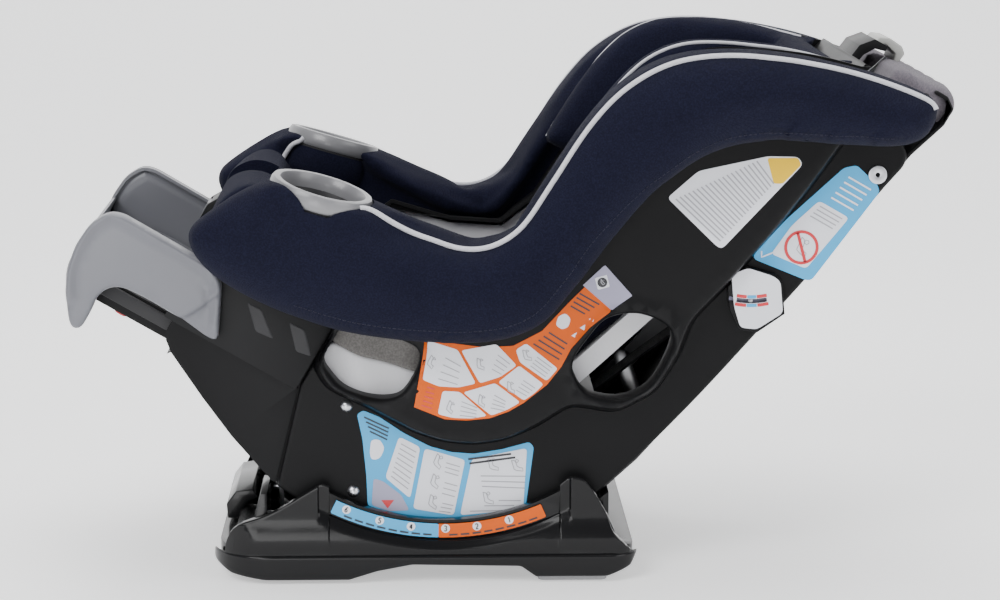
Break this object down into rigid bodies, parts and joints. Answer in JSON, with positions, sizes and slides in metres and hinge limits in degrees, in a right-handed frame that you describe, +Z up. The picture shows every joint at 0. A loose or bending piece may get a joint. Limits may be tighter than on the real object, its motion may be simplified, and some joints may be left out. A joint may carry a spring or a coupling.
{
  "type": "convertible child car seat",
  "caption": "Convertible child car seat with rocking recline base, sliding leg-room panel, cup holders, height-adjustable headrest and five-point harness.",
  "frame": {"origin": "centre of the bounding box's bottom face, where the base rests on the vehicle seat", "axes": "+Z up, +X towards the back and headrest, the child faces -X, -Y is the child's left side"},
  "size_m": [0.8076, 0.4746, 0.4966],
  "materials": {
    "black_shell": "satin",
    "black_base": "gloss",
    "grey_plastic": "satin",
    "light_grey_plastic": "satin",
    "navy_fabric": "fine knit",
    "white_foam": "smooth foam",
    "webbing": "woven",
    "steel": "satin",
    "red_plastic": "satin",
    "rubber": "matte",
    "scale_print": "printed label",
    "level_bead": "gloss"
  },
  "bodies": {
    "base": {"base_shell": "black_base", "base_tray": "black_base", "base_feet": "rubber", "base_screws": "steel", "recline_scale_left": "scale_print", "recline_scale_right": "scale_print", "recline_springs": "steel"},
    "recline_release": {"recline_handle": "grey_plastic", "recline_pull_rods": "steel"},
    "recline_bolt": {"recline_lock_bolt": "steel"},
    "seat": {"shell_side_left": "black_shell", "shell_side_right": "black_shell", "shell_front": "black_shell", "shell_rocker": "black_shell", "shell_rear": "black_shell", "shell_back": "black_shell", "shell_pan": "black_shell", "frame_bar_left": "steel", "frame_bar_right": "steel", "frame_cross_tubes": "steel", "frame_rivets": "steel", "frame_bolts": "steel", "seat_foam": "white_foam", "back_foam": "white_foam", "side_foam_left": "white_foam", "side_foam_right": "white_foam", "seat_cushion": "navy_fabric", "back_cushion": "navy_fabric", "bolster_left": "navy_fabric", "bolster_right": "navy_fabric", "cup_holder_left": "grey_plastic", "cup_holder_right": "grey_plastic", "level_housing_left": "black_shell", "level_housing_right": "black_shell", "crotch_strap": "webbing", "buckle_housing": "black_shell", "buckle_tongues": "steel", "lap_straps": "webbing", "shoulder_strap_left": "webbing", "shoulder_strap_right": "webbing", "shoulder_pads": "webbing", "chest_clip": "black_shell", "harness_splitter": "steel", "adjuster_strap": "webbing", "adjuster_housing": "black_shell"},
    "headrest": {"headrest_shell": "black_shell", "headrest_foam": "white_foam", "headrest_pad": "navy_fabric"},
    "headrest_release": {"headrest_handle": "light_grey_plastic", "headrest_lock_wire": "steel"},
    "extension": {"extension_panel": "grey_plastic", "extension_tray": "black_shell", "extension_rails": "steel"},
    "extension_release_left": {"extension_button_left": "red_plastic"},
    "extension_release_right": {"extension_button_right": "red_plastic"},
    "buckle_release": {"buckle_button": "red_plastic"},
    "clip_release": {"chest_clip_button": "grey_plastic"},
    "adjuster": {"adjuster_lever": "grey_plastic"},
    "level_left": {"level_ball_left": "level_bead"},
    "level_right": {"level_ball_right": "level_bead"}
  },
  "joints": [
    {"name": "recline", "type": "hinge", "parent": "base", "child": "seat", "pos_m": [-0.0616, 0, 0.281], "axis": [0, -1, 0], "range_deg": [-7.5, 30]},
    {"name": "recline_handle_pull", "type": "slide", "parent": "base", "child": "recline_release", "axis": [-1, 0, 0], "range_m": [0, 0.012], "stiffness_N_per_m": 900, "springref_m": -0.004, "deforming": ["recline_springs"]},
    {"name": "recline_bolt_drop", "type": "slide", "parent": "base", "child": "recline_bolt", "axis": [0, 0, -1], "range_m": [0, 0.006]},
    {"name": "headrest_height", "type": "slide", "parent": "seat", "child": "headrest", "axis": [0.7431, 0, 0.6691], "range_m": [0, 0.15], "deforming": ["shoulder_strap_left", "shoulder_strap_right"]},
    {"name": "headrest_handle_lift", "type": "slide", "parent": "headrest", "child": "headrest_release", "axis": [0.7431, 0, 0.6691], "range_m": [0, 0.008], "stiffness_N_per_m": 1500, "springref_m": -0.004},
    {"name": "extension_slide", "type": "slide", "parent": "seat", "child": "extension", "axis": [-0.866, 0, 0.5], "range_m": [-0.085, 0]},
    {"name": "extension_press_left", "type": "slide", "parent": "extension", "child": "extension_release_left", "axis": [0.5, 0, 0.866], "range_m": [0, 0.005], "stiffness_N_per_m": 600, "springref_m": -0.002},
    {"name": "extension_press_right", "type": "slide", "parent": "extension", "child": "extension_release_right", "axis": [0.5, 0, 0.866], "range_m": [0, 0.005], "stiffness_N_per_m": 600, "springref_m": -0.002},
    {"name": "buckle_press", "type": "slide", "parent": "seat", "child": "buckle_release", "axis": [-0.5, 0, -0.866], "range_m": [0, 0.003], "stiffness_N_per_m": 2000, "springref_m": -0.002},
    {"name": "clip_press", "type": "slide", "parent": "seat", "child": "clip_release", "axis": [0.4695, 0, -0.8829], "range_m": [0, 0.002], "stiffness_N_per_m": 1500, "springref_m": -0.002},
    {"name": "adjuster_lift", "type": "hinge", "parent": "seat", "child": "adjuster", "pos_m": [-0.28086, 0, 0.33023], "axis": [0, 1, 0], "range_deg": [0, 20], "stiffness_Nm_per_rad": 0.4, "springref_deg": -11.46},
    {"name": "level_swing_left", "type": "hinge", "parent": "seat", "child": "level_left", "pos_m": [0.21937, 0, 0.32965], "axis": [0, 1, 0], "range_deg": [-14, 14]},
    {"name": "level_swing_right", "type": "hinge", "parent": "seat", "child": "level_right", "pos_m": [0.21937, 0, 0.32965], "axis": [0, 1, 0], "range_deg": [-14, 14]}
  ],
  "couplings": [
    {"joint": "recline_bolt_drop", "follows": "recline_handle_pull", "ratio": 0.5}
  ]
}
